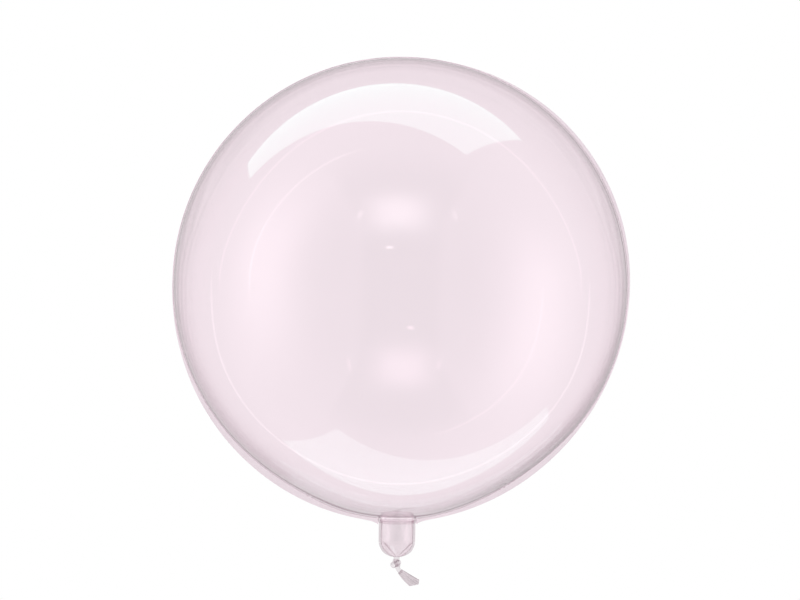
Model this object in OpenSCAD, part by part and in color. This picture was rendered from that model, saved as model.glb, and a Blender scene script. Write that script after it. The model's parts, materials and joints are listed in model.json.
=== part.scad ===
// Clear round film balloon, blown up, tied off in its own neck.
// Two film sheets are welded face to face round a circle and down both sides of a neck.
// The origin is the tie waist, +Z runs up the neck into the ball, and the weld lies in the XZ plane.

/* [Ball] */
// Diameter of the blown-up ball
ball_d = 400; // [240:1:560]
// Slope at which the ball is drawn down to the neck, in degrees
shoulder_slope = 22; // [12:1:26]

/* [Film and weld] */
// Wall of one film
film = 0.4; // [0.3:0.05:0.6]
// Width of the weld round the ball
weld_w = 1.6; // [1:0.1:2.4]
// Width of the flat margin outside the ball at its top
margin_top = 4; // [3:0.5:8]
// Width of the flat margin outside the ball beside the neck
margin_bottom = 11; // [6:0.5:14]
// Width of the webs that fair the margin into the neck
web_w = 18; // [10:1:30]

/* [Neck] */
// Outer diameter of the blown-up neck
neck_d = 28; // [20:1:36]
// Height of the ball's mouth above the tie waist
neck_len = 31; // [26:1:50]
// Width of the flat welds along the sides of the neck
neck_weld_w = 2; // [1:0.1:3]
// Height of the rounded lip that stands inside the ball's mouth
lip_h = 7; // [4:0.5:9]

/* [Tie and knot] */
// Radius of the twisted waist
throat_r = 1.9; // [1.4:0.1:2.4]
// Radius of the strand that passes through the knot
knot_core_r = 2.2; // [1.6:0.1:2.8]
// Length of the strand that passes through the knot
knot_core_len = 6.6; // [6:0.1:9]
// Radius of the strand that is wound round the knot
wrap_strand_r = 2; // [1.5:0.1:2.4]
// Radius at which that strand is wound
wrap_r = 2.6; // [2.1:0.1:3.2]
// Slope of the winding, in degrees
wrap_slope = 25; // [10:1:35]

/* [Tail] */
// Radius of the pinched root of the tail
tail_root_r = 1.7; // [1.2:0.1:2.2]
// Distance of the tail's root from the knot's axis
tail_root_x = 1.2; // [0:0.1:2]
// Length of the tail from its root
tail_len = 19; // [10:1:40]
// Width of the pleated tail at its root
tail_root_w = 4.4; // [3:0.1:6]
// Width of the pleated tail at its cut end
tail_end_w = 10.4; // [6:0.1:16]
// Angle at which the tail stands out from straight down, in degrees
tail_lean = 48; // [20:1:60]
// Number of pleats across the tail
pleats = 4; // [2:1:7]

/* [Hidden] */
$fn = 144;

film_tint = [0.94, 0.87, 0.91, 0.6];
weld_tint = [0.86, 0.78, 0.84, 0.8];
fold_tint = [0.84, 0.75, 0.81, 0.9];

ball_r = ball_d / 2;
neck_r = neck_d / 2;
// The free play between pieces that turn against each other
joint_gap = 0.4;
// The play between the ball's mouth and the neck's lip, which rock on each other
mouth_gap = 1;
mouth_cut_r = neck_r + mouth_gap;
neck_half_w = neck_r + neck_weld_w;
// The cone of the shoulder runs down to the neck's edge at the mouth, which fixes the ball's centre
ball_z = neck_len + (ball_r - neck_r * sin(shoulder_slope)) / cos(shoulder_slope);
// The ball's arc runs over into the shoulder's cone at this height
shoulder_z = ball_z - ball_r * cos(shoulder_slope);
// The shoulder's skin is let in from the ball's by this much, so that they meet on a flat edge
skin_step = film / 8;
// The bowl that closes the neck stands just above the waist
bowl_z = neck_r + film / 2;
// The neck's flat welds stop short of the axis on which the neck bends
weld_top_z = neck_len - 2 * film;
bowl_weld_z = neck_half_w + film;
throat_hole_r = throat_r + joint_gap;
knot_top_z = -throat_r - joint_gap;
knot_bottom_z = knot_top_z - knot_core_len;
knot_tip_r = knot_core_r / 2;
knot_tip_len = knot_core_r * 0.8;
wrap_z = knot_top_z - wrap_strand_r - wrap_r * sin(wrap_slope) - film * 2;
tail_z = knot_bottom_z - tail_root_r - joint_gap;
tail_start = tail_root_r + 1;
// Pleats and plies of the tail at its root; both grow towards the cut end
pleat_h = 0.7;
ply = 0.5;
ply_gap = 0.1;
pleat_spread = 1.5;
// Larger than the whole balloon, for cutting it in half
big = 4 * (ball_r + margin_bottom + neck_len);

// ---- Outlines, drawn with the axis upright ----

// Outline of the ball in the plane of the weld, let in from its skin: a circle, and the shoulder's tangents
module ball_section(inset) {
    r = ball_r - inset;
    foot = [r * sin(shoulder_slope), -r * cos(shoulder_slope)];
    translate([0, ball_z]) {
        circle(r);
        polygon([[-foot[0], foot[1]], [0, -r / cos(shoulder_slope)], foot]);
    }
}

// Radius of the shoulder's cone at a height measured from the ball's centre, let in from its skin
function shoulder_r(inset, z) = ((ball_r - inset) / cos(shoulder_slope) + z) / tan(shoulder_slope);

// The shoulder's wall, from where it leaves the ball down to its point
module shoulder_profile() {
    top = -ball_r * cos(shoulder_slope);
    inner = skin_step + film;
    point = -(ball_r - inner) / cos(shoulder_slope);
    polygon([[0, point], [shoulder_r(skin_step, point), point],
             [shoulder_r(skin_step, top), top], [shoulder_r(inner, top), top]]);
}

// Half outline of the neck, let in from its skin: bowl, tube and the lip's dome
module neck_profile(inset) {
    r = neck_r - inset;
    intersection() {
        union() {
            translate([0, bowl_z]) circle(r);
            translate([0, bowl_z]) square([r, neck_len - bowl_z]);
            translate([0, neck_len]) circle(r);
        }
        square([neck_r, neck_len + lip_h]);
    }
}

// The outline of the flat film outside the ball: a circle let down towards the neck, and faired into it
module margin_outline() {
    drop = (margin_bottom - margin_top) / 2;
    rim_r = ball_r + (margin_top + margin_bottom) / 2;
    edge_x = neck_half_w + joint_gap;
    foot_z = neck_len - margin_bottom / 2;
    web_x = edge_x + web_w;
    // The webs leave the circle on its own edge, so that they stay joined to it at any size
    web_z = ball_z - drop - sqrt(rim_r * rim_r - web_x * web_x);
    translate([0, ball_z - drop]) circle(rim_r);
    polygon([[-web_x, web_z], [-edge_x, foot_z], [edge_x, foot_z], [web_x, web_z]]);
}

// The slot in which the neck bends without touching the flat film
module neck_slot() {
    half = neck_half_w + joint_gap;
    translate([-half, 0]) square([2 * half, neck_len]);
    translate([0, neck_len]) circle(mouth_cut_r);
}

// Outline of the neck's flat welds: as wide as the neck's sides, and running out at the waist
module neck_weld_outline() {
    translate([0, bowl_weld_z]) circle(neck_half_w);
    translate([-neck_half_w, bowl_weld_z]) square([2 * neck_half_w, weld_top_z - bowl_weld_z]);
    translate([0, neck_len]) circle(neck_r);
}

// ---- Helpers ----

// Stands an outline up in the XZ plane, from y = low to y = high
module upright(low, high) {
    translate([0, high, 0]) rotate([90, 0, 0]) linear_extrude(high - low) children();
}

// Keeps what lies in front of the weld (side = -1) or behind it (side = 1)
module one_side(side) {
    intersection() {
        children();
        translate([-big / 2, side > 0 ? film : -film - big, -big / 2]) cube(big);
    }
}

// Keeps what lies between two heights
module between(low, high) {
    intersection() {
        children();
        translate([-big / 2, -big / 2, low]) cube([big, big, high - low]);
    }
}

module ball_film(side) {
    one_side(side) between(shoulder_z, ball_z + ball_d) translate([0, 0, ball_z]) difference() {
        sphere(ball_r);
        sphere(ball_r - film);
    }
}

module shoulder_film(side) {
    one_side(side) difference() {
        translate([0, 0, ball_z]) rotate_extrude() shoulder_profile();
        translate([0, 0, neck_len]) sphere(mouth_cut_r);
    }
}

module neck_film(side) {
    one_side(side) difference() {
        rotate_extrude() difference() {
            neck_profile(0);
            neck_profile(film);
        }
        sphere(throat_hole_r);
    }
}

module margin_film(low, high) {
    upright(low, high) difference() {
        margin_outline();
        ball_section(-weld_w);
        neck_slot();
    }
}

module neck_weld(side) {
    difference() {
        upright(-film, film) difference() {
            neck_weld_outline();
            neck_profile(film);
            mirror([1, 0]) neck_profile(film);
            translate([-neck_half_w, neck_len + lip_h]) square([2 * neck_half_w, neck_r]);
            translate([side > 0 ? -big : 0, -big / 2]) square(big);
        }
        sphere(throat_hole_r);
    }
}

// A folded strip, w wide, of a film t thick, with its folds h high
module pleated(w, t, h) {
    step = w / (2 * pleats);
    top = [for (i = [0:2 * pleats]) [i * step - w / 2, (i % 2) * h - h / 2]];
    polygon(concat(top, [for (i = [2 * pleats:-1:0]) top[i] + [0, t]]));
}

// Places a piece of the tail with its root at the origin and its length along +Z
module at_tail() {
    translate([tail_root_x, 0, tail_z]) rotate([0, 180 - tail_lean, 0]) children();
}

module tail_film(shift) {
    at_tail() translate([0, 0, tail_start])
        linear_extrude(tail_len - tail_start, scale = [tail_end_w / tail_root_w, pleat_spread],
                       slices = 4, $fn = 16)
            translate([0, shift]) pleated(tail_root_w, ply, pleat_h);
}

// ---- The ball ----

module ball_front_film() {
    color(film_tint) ball_film(-1);
}

module ball_back_film() {
    color(film_tint) ball_film(1);
}

module shoulder_front_film() {
    color(film_tint) shoulder_film(-1);
}

module shoulder_back_film() {
    color(film_tint) shoulder_film(1);
}

module ball_weld() {
    color(weld_tint) upright(-film, film) difference() {
        ball_section(-weld_w);
        ball_section(film);
        neck_slot();
    }
}

module margin_front_film() {
    color(film_tint) margin_film(-film, 0);
}

module margin_back_film() {
    color(film_tint) margin_film(0, film);
}

// ---- The neck ----

module neck_front_film() {
    color(film_tint) between(bowl_z, neck_len + lip_h) neck_film(-1);
}

module neck_back_film() {
    color(film_tint) between(bowl_z, neck_len + lip_h) neck_film(1);
}

module neck_weld_left() {
    color(weld_tint) neck_weld(-1);
}

module neck_weld_right() {
    color(weld_tint) neck_weld(1);
}

module gather_front_film() {
    color(fold_tint) between(0, bowl_z) neck_film(-1);
}

module gather_back_film() {
    color(fold_tint) between(0, bowl_z) neck_film(1);
}

// ---- The tie and the knot ----

module throat() {
    color(fold_tint) sphere(throat_r);
}

// The strand through the knot, with a narrow tip below the waist
module knot_core() {
    color(fold_tint) rotate_extrude()
        polygon([[0, knot_bottom_z], [knot_core_r, knot_bottom_z],
                 [knot_core_r, knot_top_z - knot_tip_len], [knot_tip_r, knot_top_z], [0, knot_top_z]]);
}

// The strand wound once round the knot's core
module knot_wrap() {
    color(fold_tint) difference() {
        translate([0, 0, wrap_z]) rotate([0, -wrap_slope, 0])
            rotate_extrude() translate([wrap_r, 0]) intersection() {
                circle(wrap_strand_r);
                translate([-wrap_r, -wrap_r]) square(2 * wrap_r);
            }
        translate([0, 0, knot_bottom_z * 2]) cylinder(r = knot_core_r, h = -knot_bottom_z * 2);
    }
}

// ---- The tail ----

module tail_root() {
    color(fold_tint) {
        translate([tail_root_x, 0, tail_z]) sphere(tail_root_r);
        at_tail() cylinder(r = tail_root_r * 0.8, h = tail_start);
    }
}

module tail_front_film() {
    color(film_tint) tail_film(-ply - ply_gap / 2);
}

module tail_back_film() {
    color(film_tint) tail_film(ply_gap / 2);
}

ball_front_film();
ball_back_film();
shoulder_front_film();
shoulder_back_film();
ball_weld();
margin_front_film();
margin_back_film();
neck_front_film();
neck_back_film();
neck_weld_left();
neck_weld_right();
gather_front_film();
gather_back_film();
throat();
knot_core();
knot_wrap();
tail_root();
tail_front_film();
tail_back_film();
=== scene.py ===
"""The looks of a clear round film balloon, blown up and tied off in its own neck.

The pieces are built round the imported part, which is measured and never moved. All lengths are in
metres in the part's own frame. The tie waist is at the origin, +Z runs up the neck into the ball,
-Y is the front, and the weld that joins the two films lies in the XZ plane.
"""

import json
import logging
import math
from dataclasses import dataclass
from enum import Enum
from typing import ClassVar

import bmesh
import bpy
import numpy as np
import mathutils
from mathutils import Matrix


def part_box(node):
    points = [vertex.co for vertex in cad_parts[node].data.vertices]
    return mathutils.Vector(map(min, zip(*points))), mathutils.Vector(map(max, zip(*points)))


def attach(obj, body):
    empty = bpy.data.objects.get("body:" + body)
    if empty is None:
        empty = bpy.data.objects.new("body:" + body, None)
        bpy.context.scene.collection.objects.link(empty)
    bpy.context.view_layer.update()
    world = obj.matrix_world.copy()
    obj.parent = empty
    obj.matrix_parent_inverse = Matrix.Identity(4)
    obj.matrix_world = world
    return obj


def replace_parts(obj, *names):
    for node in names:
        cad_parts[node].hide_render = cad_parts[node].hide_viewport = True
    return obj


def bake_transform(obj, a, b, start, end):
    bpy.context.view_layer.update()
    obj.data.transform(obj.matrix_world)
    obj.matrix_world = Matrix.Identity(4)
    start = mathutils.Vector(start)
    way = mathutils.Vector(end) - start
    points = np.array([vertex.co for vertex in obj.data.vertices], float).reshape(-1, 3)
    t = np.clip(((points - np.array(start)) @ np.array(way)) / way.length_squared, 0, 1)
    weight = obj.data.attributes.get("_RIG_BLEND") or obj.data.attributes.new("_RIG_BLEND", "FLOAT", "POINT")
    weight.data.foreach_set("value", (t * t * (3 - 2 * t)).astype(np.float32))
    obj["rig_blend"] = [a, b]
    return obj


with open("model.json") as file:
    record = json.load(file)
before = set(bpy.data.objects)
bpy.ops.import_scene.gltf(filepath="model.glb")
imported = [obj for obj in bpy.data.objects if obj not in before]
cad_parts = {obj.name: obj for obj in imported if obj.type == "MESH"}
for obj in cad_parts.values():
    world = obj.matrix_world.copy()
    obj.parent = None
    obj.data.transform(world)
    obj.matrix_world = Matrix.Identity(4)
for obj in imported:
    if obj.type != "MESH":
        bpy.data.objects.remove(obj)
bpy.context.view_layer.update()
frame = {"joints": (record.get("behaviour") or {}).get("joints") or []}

LOG = logging.getLogger("balloon")
MM = 0.001
Array = np.ndarray
Colour = tuple[float, float, float]
Vector = tuple[float, float, float]
RIGHTWARDS: Vector = (1.0, 0.0, 0.0)
FORWARDS: Vector = (0.0, -1.0, 0.0)
BACKWARDS: Vector = (0.0, 1.0, 0.0)
UPWARDS: Vector = (0.0, 0.0, 1.0)
POLE_GAP = 1e-7


class Side(Enum):
    """Which of the two films a piece belongs to; the value is the sign of its Y."""

    FRONT = -1
    BACK = 1


class Hand(Enum):
    """Which side of the neck a piece is on; the value is the sign of its X."""

    LEFT = -1
    RIGHT = 1


# ---- Arithmetic on whole arrays ----


def ease(x: Array, low: float, high: float) -> Array:
    """Runs smoothly from 0 at low to 1 at high, as 3t squared less 2t cubed."""
    t = np.clip((x - low) / (high - low), 0.0, 1.0)
    return t * t * (3.0 - 2.0 * t)


def bell(x: Array, centre: float, width: float) -> Array:
    """A bell curve of height 1 that falls to 1/e at width from its centre."""
    return np.exp(-(((x - centre) / width) ** 2))


def unit(vectors: Array) -> Array:
    """Scales each vector of the last axis to length 1."""
    return vectors / np.maximum(np.linalg.norm(vectors, axis=-1, keepdims=True), 1e-12)


def once_round(count: int) -> Array:
    """Evenly spaced angles once round, the last of them one step short of the first."""
    return np.linspace(0.0, 2.0 * np.pi, count, endpoint=False)


def round_ends(step: Array, share: float) -> Array:
    """Opens from 0 to 1 over the first share of a strand and closes over the last, as a root."""
    return np.sqrt(np.clip(np.minimum(step, 1.0 - step) / share, 0.0, 1.0))


@dataclass(frozen=True)
class Wave:
    """A cosine wave: how many times it goes round, how high it is, and its lead in radians."""

    count: float
    height: float
    lead: float

    def at(self, angle: Array) -> Array:
        """The wave's height at each angle."""
        return self.height * np.cos(self.count * angle + self.lead)


def add_up(waves: tuple[Wave, ...], angle: Array) -> Array:
    """The height of several waves together at each angle."""
    return sum(wave.at(angle) for wave in waves)


# ---- Grids into pieces ----


@dataclass
class Sheet:
    """A surface on a grid of points, and how it becomes a piece.

    Rows run along the first axis and columns along the second. Faces look to the side from which
    the columns run to the right as the rows run downwards, unless they are flipped. The crease
    angle, in degrees, is the least bend that is left a sharp edge.
    """

    name: str
    points: Array
    wall: float = 0.0
    flipped: bool = False
    columns_closed: bool = False
    rows_closed: bool = False
    crease_angle: float = 55.0

    def corners(self) -> tuple[Array, Array]:
        """Works out which points and which places on the sheet each face joins.

        Returns:
            The four point numbers of each face, and the four (across, along) places from 0 to 1.
        """
        rows, columns = self.points.shape[:2]
        row = np.arange(rows + self.rows_closed)
        column = np.arange(columns + self.columns_closed)
        number = (row[:, None] % rows) * columns + column[None, :] % columns
        across, along = np.meshgrid(column / column[-1], row / row[-1])
        place = np.stack([across, along], axis=-1)
        steps = [(slice(0, -1), slice(0, -1)), (slice(1, None), slice(0, -1)),
                 (slice(1, None), slice(1, None)), (slice(0, -1), slice(1, None))]
        if self.flipped:
            steps.reverse()
        faces = np.stack([number[i, j] for i, j in steps], axis=-1).reshape(-1, 4)
        places = np.stack([place[i, j] for i, j in steps], axis=-2).reshape(-1, 4, 2)
        return faces, places

    def build(self) -> bpy.types.Object:
        """Makes the piece, closes its poles, gives it its wall and leaves it a final mesh.

        Returns:
            The piece, at the origin, with its place in its mesh.
        """
        faces, places = self.corners()
        mesh = bpy.data.meshes.new(self.name)
        mesh.vertices.add(self.points.shape[0] * self.points.shape[1])
        mesh.vertices.foreach_set("co", self.points.astype(np.float32).ravel())
        mesh.loops.add(faces.size)
        mesh.loops.foreach_set("vertex_index", faces.astype(np.int32).ravel())
        mesh.polygons.add(len(faces))
        mesh.polygons.foreach_set("loop_start", np.arange(0, faces.size, 4, dtype=np.int32))
        mesh.update(calc_edges=True)
        mesh.uv_layers.new(name="sheet").data.foreach_set("uv", places.astype(np.float32).ravel())
        close_poles(mesh)
        piece = bpy.data.objects.new(self.name, mesh)
        bpy.context.scene.collection.objects.link(piece)
        if self.wall:
            give_wall(piece, self.wall)
        piece.data.polygons.foreach_set("use_smooth", np.ones(len(piece.data.polygons), bool))
        piece.data.set_sharp_from_angle(angle=math.radians(self.crease_angle))
        piece.data.update()
        return piece


def close_poles(mesh: bpy.types.Mesh) -> None:
    """Merges the points that fall together where a row shrinks to a point.

    Args:
        mesh: the mesh, changed in place.
    """
    work = bmesh.new()
    work.from_mesh(mesh)
    bmesh.ops.remove_doubles(work, verts=work.verts, dist=POLE_GAP)
    work.to_mesh(mesh)
    work.free()


def give_wall(piece: bpy.types.Object, wall: float) -> None:
    """Turns a sheet into a closed shell whose wall lies behind its faces.

    Args:
        piece: the sheet, whose mesh is replaced.
        wall: the thickness of the wall.
    """
    solid = piece.modifiers.new("wall", "SOLIDIFY")
    solid.thickness = wall
    solid.offset = -1.0
    solid.use_quality_normals = True
    graph = bpy.context.evaluated_depsgraph_get()
    shell = bpy.data.meshes.new_from_object(piece.evaluated_get(graph), depsgraph=graph)
    piece.modifiers.clear()
    piece.data = shell


def ring_frames(path: Array, up: Vector) -> tuple[Array, Array]:
    """Two directions square to a path at each of its points.

    Args:
        path: points along the path, one row each.
        up: a direction that the path never follows.

    Returns:
        The first direction, square to the path and to up, and the second, square to both.
    """
    ahead = unit(np.gradient(path, axis=0))
    first = unit(np.cross(ahead, np.array(up)))
    return first, np.cross(ahead, first)


def strand(path: Array, up: Vector, radius: Array) -> Array:
    """Carries a closed profile along a path.

    Each point stands off the path by its own radius, at an angle that goes once round.

    Args:
        path: points along the path.
        up: a direction that the path never follows.
        radius: the radius at each path point (rows) and angle (columns).

    Returns:
        The grid of points, one row for each path point.
    """
    turn = once_round(radius.shape[1])
    first, second = ring_frames(path, up)
    spokes = (first[:, None] * np.cos(turn)[None, :, None]
              + second[:, None] * np.sin(turn)[None, :, None])
    return path[:, None] + spokes * radius[..., None]


# ---- Where things are ----


@dataclass(frozen=True)
class Layout:
    """Places and sizes that every piece is built round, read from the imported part."""

    ball_radius: float
    ball_height: float
    mouth_height: float
    neck_radius: float
    neck_half_width: float
    bowl_height: float
    knot_top: float
    knot_bottom: float
    turn_height: float
    tail_root: Array

    @classmethod
    def read(cls) -> "Layout":
        """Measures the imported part.

        Returns:
            The places and sizes.
        """
        ball_low, ball_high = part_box("ball_front_film")
        radius = -ball_low.y
        height = ball_high.z - radius
        neck_low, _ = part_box("neck_front_film")
        weld_low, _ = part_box("neck_weld_left")
        _, bowl_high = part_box("gather_front_film")
        core_low, core_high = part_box("knot_core")
        wrap_low, wrap_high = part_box("knot_wrap")
        joints = {j["name"]: np.array(j["pos_m"]) for j in frame["joints"]}
        return cls(
            ball_radius=radius,
            ball_height=height,
            mouth_height=float(joints["neck_bend"][2]),
            neck_radius=-neck_low.y,
            neck_half_width=-weld_low.x,
            bowl_height=bowl_high.z,
            knot_top=core_high.z,
            knot_bottom=core_low.z,
            turn_height=(wrap_low.z + wrap_high.z) / 2.0,
            tail_root=joints["tail_flop"],
        )


# ---- Finishes ----


class Shader:
    """A node tree under construction."""

    def __init__(self, tree: bpy.types.NodeTree) -> None:
        """Empties the tree."""
        tree.nodes.clear()
        self.tree = tree

    def add(self, kind: str, settings: dict | None = None, **inputs: object) -> bpy.types.Node:
        """Adds a node.

        Args:
            kind: the node's type.
            settings: its own properties, by name.
            inputs: its inputs, by name with _ for a space, or i0, i1, i2 by number; each is a
                plain value or a socket to link.

        Returns:
            The node.
        """
        node = self.tree.nodes.new(kind)
        for name, value in (settings or {}).items():
            setattr(node, name, value)
        for name, value in inputs.items():
            numbered = name[0] == "i" and name[1:].isdigit()
            socket = node.inputs[int(name[1:]) if numbered else name.replace("_", " ")]
            if isinstance(value, bpy.types.NodeSocket):
                self.tree.links.new(value, socket)
            elif socket.type == "RGBA":
                socket.default_value = (*value, 1.0)
            else:
                socket.default_value = value
        return node

    def math(self, operation: str, *values: object, clamp: bool = False) -> bpy.types.NodeSocket:
        """Adds a sum, product, power or the like.

        Args:
            operation: the Math node's operation.
            values: its inputs in order, each a number or a socket.
            clamp: whether the result is kept between 0 and 1.

        Returns:
            The result.
        """
        inputs = {f"i{i}": value for i, value in enumerate(values)}
        node = self.add("ShaderNodeMath", {"operation": operation, "use_clamp": clamp}, **inputs)
        return node.outputs[0]

    def dot(self, vector: bpy.types.NodeSocket, fixed: Vector) -> bpy.types.NodeSocket:
        """How far a vector reaches along a fixed direction."""
        node = self.add("ShaderNodeVectorMath", {"operation": "DOT_PRODUCT"}, i0=vector, i1=fixed)
        return node.outputs["Value"]

    def rise(self, value: object, low: float, high: float) -> bpy.types.NodeSocket:
        """Runs smoothly from 0 where value is low to 1 where it is high."""
        node = self.add("ShaderNodeMapRange", {"interpolation_type": "SMOOTHSTEP"},
                        Value=value, From_Min=low, From_Max=high)
        return node.outputs[0]

    def hump(self, value: object, centre: float, width: float,
             power: float = 2.0) -> bpy.types.NodeSocket:
        """A bell curve of height 1, which falls to 1/e at width from its centre.

        Args:
            value: the number it is a curve of.
            centre: where the curve is 1.
            width: how far from there it is 1/e.
            power: how steep its sides are, and so how flat its top is.

        Returns:
            The curve's height, e to minus the distance over the width, raised to the power.
        """
        away = self.math("DIVIDE", self.math("SUBTRACT", value, centre), width)
        fall = self.math("POWER", self.math("ABSOLUTE", away), power)
        return self.math("EXPONENT", self.math("MULTIPLY", fall, -1.0))

    def mix(self, share: object, first: object, second: object) -> bpy.types.NodeSocket:
        """Mixes two colours."""
        node = self.add("ShaderNodeMix", {"data_type": "RGBA"}, i0=share, i6=first, i7=second)
        return node.outputs[2]

    def scaled(self, colour: object, by: object) -> bpy.types.NodeSocket:
        """Multiplies a colour by a number."""
        node = self.add("ShaderNodeVectorMath", {"operation": "SCALE"}, i0=colour, Scale=by)
        return node.outputs[0]


@dataclass(frozen=True)
class FilmFinish:
    """Clear stretched film, as one face of it treats the light.

    A face mirrors a small share head on and nearly all of it edge on, as the fifth power of its
    slant. What it doesn't mirror goes through, tinted, and more so edge on: partly because light
    crosses more film there, and partly as painted shade, an edge tint darker than the film's own
    that draws a dark rim round it. Gathered film is darker along its folds.
    """

    MIRROR_POWER: ClassVar[float] = 5.0
    TINT_POWER: ClassVar[float] = 6.0
    STREAK_SCALE: ClassVar[Vector] = (9.0, 0.7, 1.0)
    STREAK_START: ClassVar[float] = 0.52
    STREAK_FULL: ClassVar[float] = 0.62

    name: str
    slot: str
    through: Colour
    # Tint edge on: the film's own tint, darkened further by painted shade to draw a dark rim.
    edge_tint_and_shade: Colour
    mirror: float
    mirrored: Colour
    roughness: float
    haze: float
    metal: float
    unevenness: float
    grain: float
    ripple: float
    streaks: float = 0.0
    mirror_edge: float = 1.0

    def material(self) -> bpy.types.Material:
        """Makes the material.

        Returns:
            The material: a mix of clear, tinted film and a mirror, by how much the face mirrors.
        """
        made = bpy.data.materials.new(self.name)
        made.use_nodes = True
        made.use_backface_culling = False
        s = Shader(made.node_tree)
        coordinates = s.add("ShaderNodeTexCoord")
        place = coordinates.outputs["Object"]
        cloud = s.add("ShaderNodeTexNoise", Vector=place, Scale=self.grain, Detail=3.0,
                      Roughness=0.5)
        slant = s.add("ShaderNodeLayerWeight", Blend=0.5).outputs["Facing"]
        steep = s.math("POWER", slant, self.MIRROR_POWER)
        share = s.math("MULTIPLY_ADD", steep, self.mirror_edge - self.mirror, self.mirror)
        haze = s.math("MULTIPLY", cloud.outputs[0], 2.0 * self.haze)
        share = s.math("ADD", share, haze, clamp=True)
        # Painted shade: edge on, the tint darkens more than the extra film crossed would give, drawing a
        # dark rim.
        edge_tint_and_shade_share = s.math("POWER", slant, self.TINT_POWER)
        tint = s.mix(edge_tint_and_shade_share, self.through, self.edge_tint_and_shade)
        even = s.math("MULTIPLY_ADD", cloud.outputs[0], -2.0 * self.unevenness, 1.0)
        if self.streaks:
            even = s.math("MULTIPLY_ADD", self.streak(s, coordinates), -self.streaks, even)
        clear = s.add("ShaderNodeBsdfTransparent", Color=s.scaled(tint, even))
        relief = s.add("ShaderNodeBump", Strength=1.0, Distance=self.ripple,
                       Height=cloud.outputs[0])
        gloss = s.add("ShaderNodeBsdfPrincipled", Base_Color=self.mirrored, Metallic=self.metal,
                      Roughness=self.roughness, Normal=relief.outputs[0])
        both = s.add("ShaderNodeMixShader", i0=share, i1=clear.outputs[0], i2=gloss.outputs[0])
        s.add("ShaderNodeOutputMaterial", Surface=both.outputs[0])
        return made

    def streak(self, s: Shader, coordinates: bpy.types.Node) -> bpy.types.NodeSocket:
        """Darker lines that run along a gathered sheet, where folds lie over each other.

        Args:
            s: the material's shader.
            coordinates: its Texture Coordinate node.

        Returns:
            How strong the lines are, from 0 to 1.
        """
        drawn = s.add("ShaderNodeMapping", Vector=coordinates.outputs["UV"],
                      Scale=self.STREAK_SCALE)
        lines = s.add("ShaderNodeTexNoise", Vector=drawn.outputs[0], Scale=1.0, Detail=2.0)
        return s.rise(lines.outputs[0], self.STREAK_START, self.STREAK_FULL)

    def dress(self, piece: bpy.types.Object) -> bpy.types.Object:
        """Gives a piece this finish.

        Args:
            piece: the piece, whose other materials are taken off.

        Returns:
            The same piece.
        """
        made = bpy.data.materials.get(self.name) or self.material()
        piece.data.materials.clear()
        piece.data.materials.append(made)
        return piece


# The edge tints below are partly the film's own and partly painted shade that darkens the rims.
CLEAR_FILM = FilmFinish(
    name="clear_pink_film", slot="film",
    through=(0.993, 0.9615, 0.9775), edge_tint_and_shade=(0.975, 0.945, 0.96),
    mirror=0.0377, mirrored=(1.0, 0.97, 0.985), roughness=0.02, haze=0.0, metal=1.0,
    unevenness=0.003, grain=14.0, ripple=0.02 * MM)
NECK_FILM = FilmFinish(
    name="neck_pink_film", slot="film",
    through=(0.974, 0.944, 0.959), edge_tint_and_shade=(0.86, 0.81, 0.83),
    mirror=0.042, mirrored=(1.0, 0.95, 0.97), roughness=0.04, haze=0.004, metal=1.0,
    unevenness=0.01, grain=160.0, ripple=0.05 * MM)
FLAT_FILM = FilmFinish(
    name="flat_pink_film", slot="flat_film",
    through=(0.989, 0.956, 0.973), edge_tint_and_shade=(0.93, 0.88, 0.90),
    mirror=0.0377, mirrored=(1.0, 0.95, 0.97), roughness=0.05, haze=0.004, metal=1.0,
    unevenness=0.006, grain=60.0, ripple=0.1 * MM)
WELD = FilmFinish(
    name="heat_weld", slot="weld",
    through=(0.915, 0.875, 0.895), edge_tint_and_shade=(0.80, 0.74, 0.77),
    mirror=0.05, mirrored=(0.96, 0.90, 0.93), roughness=0.12, haze=0.02, metal=0.8,
    unevenness=0.02, grain=400.0, ripple=0.1 * MM)
TUCKED_FILM = FilmFinish(
    name="tucked_pink_film", slot="gathered_film",
    through=(0.974, 0.944, 0.959), edge_tint_and_shade=(0.84, 0.79, 0.81),
    mirror=0.042, mirrored=(1.0, 0.95, 0.97), roughness=0.06, haze=0.004, metal=1.0,
    unevenness=0.01, grain=200.0, ripple=0.05 * MM)
CREASED_FILM = FilmFinish(
    name="creased_film", slot="weld",
    through=(0.975, 0.952, 0.962), edge_tint_and_shade=(0.84, 0.80, 0.82),
    mirror=0.045, mirrored=(0.98, 0.92, 0.95), roughness=0.12, haze=0.01, metal=0.9,
    unevenness=0.015, grain=300.0, ripple=0.1 * MM)
GATHERED_FILM = FilmFinish(
    name="knotted_pink_film", slot="gathered_film",
    through=(0.935, 0.91, 0.922), edge_tint_and_shade=(0.84, 0.80, 0.82),
    mirror=0.03, mirrored=(0.98, 0.92, 0.95), roughness=0.12, haze=0.003, metal=0.9,
    unevenness=0.008, grain=300.0, ripple=0.05 * MM, streaks=0.08, mirror_edge=0.6)


# ---- The ball ----


@dataclass(frozen=True)
class Swell:
    """A broad, low rise or hollow in the ball's edge; its place round the ball is in degrees."""

    angle: float
    height: float
    spread: float


@dataclass(frozen=True)
class Pucker:
    """A run of short wrinkles across the weld; its place round the ball is in degrees."""

    angle: float
    height: float
    spread: float
    pitch: float


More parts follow.
